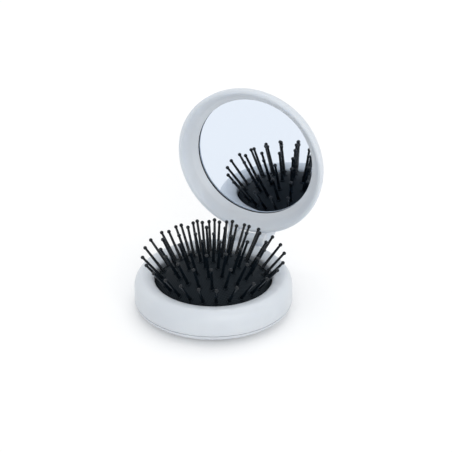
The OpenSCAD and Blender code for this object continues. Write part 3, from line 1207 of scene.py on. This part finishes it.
@dataclass
class Button:
    """The push button in the underside and the plate with which it lifts the pins."""

    case: Case
    cushion: Cushion
    r: float = 8.0
    gap: float = 0.3
    wall: float = 1.2
    sink: float = 0.2
    corner: float = 0.3
    plate_r: float = 9.0
    plate_t: float = 1.2
    plug_play: float = 0.3

    def __post_init__(self) -> None:
        """Works out what follows from the sizes."""
        # radius of the sphere that the plate's top is a part of
        self.top_r = self.cushion.dome_r - self.cushion.pad_t - self.cushion.head_t - 2 * self.cushion.head_play
        # height of the plate's underside
        self.plate_z = self.cushion.dome_z + math.sqrt(self.top_r**2 - self.plate_r**2) - self.plate_t
        self.guide_r = self.r + self.gap
        self.foot_z = self.cushion.travel + self.sink  # height of the button's underside

    def plate(self) -> Mesh:
        """The domed plate under the pad's centre, with its plug.

        Returns:
            The mesh.
        """
        plug_r, plug_z = self.r - self.wall - self.case.fit, self.foot_z + self.wall + self.plug_play
        dome_z, edge = self.cushion.dome_z, math.degrees(math.asin(self.plate_r / self.top_r))
        outline = [(0, self.plate_z), (plug_r - self.wall, self.plate_z), (plug_r - self.wall, plug_z),
                   (plug_r, plug_z), (plug_r, self.plate_z), (self.plate_r, self.plate_z)]
        outline += arc(0, dome_z, self.top_r, self.top_r, 90 - edge, 90)[:-1] + [(0, dome_z + self.top_r)]
        return turned("lift_plate", outline, self.case.corner)

    def cup(self) -> Mesh:
        """The button, a shallow cup that opens upward.

        Returns:
            The mesh.
        """
        z0, z1, inside = self.foot_z, self.plate_z, self.r - self.wall
        outline = [(0, z0), (self.r, z0), (self.r, z1), (inside, z1), (inside, z0 + self.wall), (0, z0 + self.wall)]
        return turned("push_button", outline, self.corner)

    def pieces(self) -> list[Piece]:
        """The plate and the button."""
        return [Piece("lift_plate", self.plate(), Slot.BLACK, Body.BUTTON.value),
                Piece("push_button", self.cup(), Slot.BLACK, Body.BUTTON.value)]


@dataclass
class Base:
    """The base: shell, bezel, and the ring that clamps the pad between them."""

    case: Case
    hinge: Hinge
    cushion: Cushion
    button: Button
    belly: float = 10.0
    edge_w: float = 11.5
    split: float = 4.4
    crest_in: float = 3.7
    floor_t: float = 1.9
    foot_in: float = 9.4
    foot_w: float = 5.0
    foot_recess: float = 0.4
    ring_t: float = 1.4
    post_t: float = 1.5
    spigot_h: float = 2.0
    step_in: float = 0.5
    plate_room: float = 0.5

    def floor_at(self, r: float) -> float:
        """Height of the dish's inside.

        Args:
            r: the radius, in mm.

        Returns:
            The height, in mm.
        """
        inside_w, inside_h = self.edge_w - self.case.wall, self.split - self.floor_t
        share = (r - self.case.r + self.edge_w) / inside_w
        return self.split - inside_h * math.sqrt(max(0.0, 1 - share * share))

    def shell(self) -> Mesh:
        """The lower dish with its foot ring, its post and the button's guide.

        Returns:
            The mesh.
        """
        case, guide_r = self.case, self.button.guide_r
        edge_r, half = case.r - self.edge_w, case.groove / 2
        foot_r = case.r - self.foot_in
        foot_in = foot_r - self.foot_w
        foot_a = math.degrees(math.acos((foot_r - edge_r) / self.edge_w))
        spigot_r, spigot_z = case.r - case.wall - case.fit, self.split + self.spigot_h
        spigot_in = spigot_r - case.spigot_t
        inside_w = self.edge_w - case.wall
        inside_a = math.degrees(math.acos((spigot_in - edge_r) / inside_w))
        post_r = case.lip_r + self.step_in
        post_in = post_r - self.post_t
        ring_z = self.cushion.rim_z - self.cushion.pad_t - self.ring_t
        guide_z = self.button.plate_z - self.cushion.travel - self.plate_room

        inside = arc(edge_r, self.split, inside_w, self.split - self.floor_t, -inside_a, -90)
        outline = [(guide_r, self.foot_recess), (foot_in, self.foot_recess), (foot_in + self.foot_recess, 0),
                   (foot_r, 0)]
        outline += arc(edge_r, self.split, self.edge_w, self.split, -foot_a, edge_angle(-half, self.split), 40)
        outline += [(spigot_r, self.split - half), (spigot_r, spigot_z), (spigot_in, spigot_z)]
        outline += [p for p in inside if p[0] > post_r]
        outline += [(post_r, self.floor_at(post_r)), (post_r, ring_z), (post_in, ring_z),
                    (post_in, self.floor_at(post_in))]
        outline += [p for p in inside if p[0] < post_in]
        outline += [(guide_r + case.wall, self.floor_t), (guide_r + case.wall, guide_z), (guide_r, guide_z)]
        return turned("base_shell", outline, case.corner)

    def rim(self) -> Mesh:
        """The bezel round the pad, before its hinge is cut.

        Returns:
            The mesh.
        """
        case = self.case
        bottom, crest_r, roof = self.split + case.groove / 2, case.r - self.crest_in, case.height - case.wall
        shell_in = case.r - case.wall
        outline = [(case.r, bottom)]
        outline += arc(crest_r, self.belly, self.crest_in, case.height - self.belly, 0, 90, 32)
        outline += arc(crest_r, case.opening_z, crest_r - case.opening_r, case.opening_drop, 90, 180, 32)[1:]
        outline += [(case.opening_r, self.cushion.rim_z), (case.lip_r, self.cushion.rim_z), (case.lip_r, roof)]
        outline += arc(crest_r, self.belly, shell_in - crest_r, roof - self.belly, 90, 0) + [(shell_in, bottom)]
        return turned("base_bezel", outline, case.corner)

    def bezel(self) -> Mesh:
        """The bezel round the pad, with the middle knuckle and room for the lid's two.

        Returns:
            The mesh.
        """
        hinge, foot = self.hinge, -self.hinge.out
        end, half = hinge.half + hinge.play, hinge.base_half
        side = hinge.lug_side(foot - hinge.lug_sink, foot - self.case.wall, True)
        return carved(self.rim(), [
            (Cut.AWAY, hinge.pocket(half, end)),
            (Cut.AWAY, hinge.pocket(-end, -half)),
            (Cut.ON, hinge.knuckle(-half, half)),
            (Cut.ON, bevelled(along_x("lug", side, -half, half), hinge.base_ease)),
            (Cut.AWAY, hinge.bore(hinge.pin_play)),
        ])

    def pad_ring(self) -> Mesh:
        """The ring that clamps the pad's flange from below.

        Returns:
            The mesh.
        """
        z1 = self.cushion.rim_z - self.cushion.pad_t
        z0, r0, r1 = z1 - self.ring_t, self.case.opening_r + self.step_in, self.case.lip_r + self.step_in
        return turned("pad_ring", oblong(r0, r1, z0, z1), self.case.corner)

    def pieces(self) -> list[Piece]:
        """The base's three frosted pieces."""
        made = {"base_shell": self.shell(), "base_bezel": self.bezel(), "pad_ring": self.pad_ring()}
        return [Piece(name, mesh, Slot.FROSTED, Body.BASE.value) for name, mesh in made.items()]


# ---- Surroundings ----


@dataclass(frozen=True)
class Photo:
    """How the photograph was taken, as measured on it."""

    side_px: int = 452
    azimuth: float = 24.0
    elevation: float = 29.7
    distance: float = 1200.0  # camera to the brush, in mm
    px_per_mm: float = 2.41  # at the middle of the base's opening
    middle_px: Point = (213.3, 278.1)  # where that middle is in the picture
    sensor: float = 36.0  # the camera's sensor, in mm; the lens follows from it
    clip: tuple[float, float] = (0.01, 100.0)  # nearest and farthest that is seen, in metres

    def make_camera(self, middle_z: float) -> None:
        """Sets the camera as the photograph was taken.

        Args:
            middle_z: height of the point that was measured, in mm.
        """
        a, e = math.radians(self.azimuth), math.radians(self.elevation)
        back = Vector((math.sin(a) * math.cos(e), -math.cos(a) * math.cos(e), math.sin(e)))
        right = Vector((math.cos(a), math.sin(a), 0))
        up = Vector((-math.sin(a) * math.sin(e), math.cos(a) * math.sin(e), math.cos(e)))
        middle, half = Vector((0, 0, middle_z)), self.side_px / 2
        aim = middle + (right * (half - self.middle_px[0]) + up * (self.middle_px[1] - half)) / self.px_per_mm
        data = bpy.data.cameras.new("camera")
        data.sensor_width = self.sensor
        data.lens = self.px_per_mm * self.distance / self.side_px * self.sensor
        data.clip_start, data.clip_end = self.clip
        place = middle + back * self.distance
        bpy.context.scene.camera = pointed("camera", data, place * MM, aim * MM)


def pointed(name: str, data: ID, place: Vector, target: Vector) -> Object:
    """Puts a camera or a light in the scene.

    Args:
        name: the object's name.
        data: the camera or the light.
        place: where it stands, in metres.
        target: the point that it faces.

    Returns:
        The object.
    """
    obj = new_object(name, data)
    obj.location = place
    obj.rotation_mode = "QUATERNION"
    obj.rotation_quaternion = (target - place).to_track_quat("-Z", "Y")
    return obj


@dataclass(frozen=True)
class Lamp:
    """A square area light that faces the brush, in metres and watts."""

    name: str
    place: tuple[float, float, float]
    side: float
    watts: float
    target: tuple[float, float, float] = (0, 0, 0.02)

    def build(self) -> None:
        """Puts the lamp in the scene."""
        data = bpy.data.lights.new(self.name, "AREA")
        data.shape, data.size, data.energy = "SQUARE", self.side, self.watts
        pointed(self.name, data, Vector(self.place), Vector(self.target))


def seen_directly(tree: NodeTree) -> Wire:
    """1 where the camera sees a surface, straight or by way of a mirror or glass, and 0 elsewhere.

    Args:
        tree: the material's or the background's nodes.

    Returns:
        The wire.
    """
    rays = add_node(tree, "ShaderNodeLightPath").outputs
    seen = Wire(rays["Is Camera Ray"])
    for ray in ("Is Glossy Ray", "Is Transmission Ray"):
        seen = seen.largest(Wire(rays[ray]))
    return seen


@dataclass(frozen=True)
class Surroundings:
    """A white table and background, with a softer light on the brush itself."""

    sky: Colour = (0.98, 0.99, 1.0)
    sky_strength: float = 0.77
    floor: Colour = (0.88, 0.88, 0.88)
    floor_roughness: float = 0.8
    floor_gloss: float = 0.1
    floor_lift: float = 0.13  # added where the floor is seen, so that only the shadow falls short of white
    floor_half: float = 6.0
    floor_z: float = -0.00002
    lamps: tuple[Lamp, ...] = (Lamp("key", (-0.1, 0.5, 1.2), 1.1, 4.5), Lamp("fill", (0.75, -0.9, 0.4), 0.9, 4.2))

    def make_floor(self) -> None:
        """A white table top that keeps the brush's shadow."""
        half = self.floor_half
        mesh = bpy.data.meshes.new("floor")
        mesh.from_pydata([(-half, -half, 0), (half, -half, 0), (half, half, 0), (-half, half, 0)], [], [(0, 1, 2, 3)])
        paint = Paint("floor", self.floor, self.floor_roughness)
        paint.set("Specular IOR Level", self.floor_gloss)
        glow = add_node(paint.tree, "ShaderNodeCombineColor", sockets={
            channel: seen_directly(paint.tree) * self.floor_lift for channel in ("Red", "Green", "Blue")})
        paint.set("Emission Color", glow.outputs[0])
        paint.set("Emission Strength", 1.0)
        mesh.materials.append(paint.material)
        floor = new_object("floor", mesh)
        floor.location.z = self.floor_z

    def make_world(self) -> None:
        """White for what the camera and the mirror see, and a softer light on the rest."""
        world = bpy.data.worlds.new("world")
        bpy.context.scene.world = world
        world.use_nodes = True
        tree = world.node_tree
        tree.nodes.clear()
        white = add_node(tree, "ShaderNodeBackground", sockets={"Color": (1, 1, 1, 1)})
        soft = add_node(tree, "ShaderNodeBackground",
                        sockets={"Color": (*self.sky, 1), "Strength": self.sky_strength})
        mix = add_node(tree, "ShaderNodeMixShader",
                       sockets={0: seen_directly(tree), 1: soft.outputs[0], 2: white.outputs[0]})
        add_node(tree, "ShaderNodeOutputWorld", sockets={"Surface": mix.outputs[0]})

    def build(self) -> None:
        """Puts the floor, the background and the lamps in the scene."""
        self.make_floor()
        self.make_world()
        for lamp in self.lamps:
            lamp.build()


def main() -> None:
    """Builds the brush's looks and its surroundings."""
    logging.basicConfig(level=logging.INFO, format="%(name)s: %(message)s")
    bpy.context.scene.view_settings.view_transform = "Standard"
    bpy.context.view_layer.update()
    kit, case = Kit(), Case()
    hinge = Hinge(case)
    lid = Lid(case, hinge)
    cushion = Cushion(case, lid)
    button = Button(case, cushion)
    base = Base(case, hinge, cushion, button)
    faces = 0
    for pieces in (base.pieces(), cushion.pad_pieces(kit), lid.pieces(), button.pieces(), cushion.pin_pieces(kit)):
        for piece in pieces:
            obj = piece.dress(kit)
            faces += len(obj.data.polygons)
            log.info("%s: %d faces", obj.name, len(obj.data.polygons))
    log.info("faces in all: %d", faces)
    Surroundings().build()
    Photo().make_camera(case.opening_z)


if __name__ == "__main__":
    main()
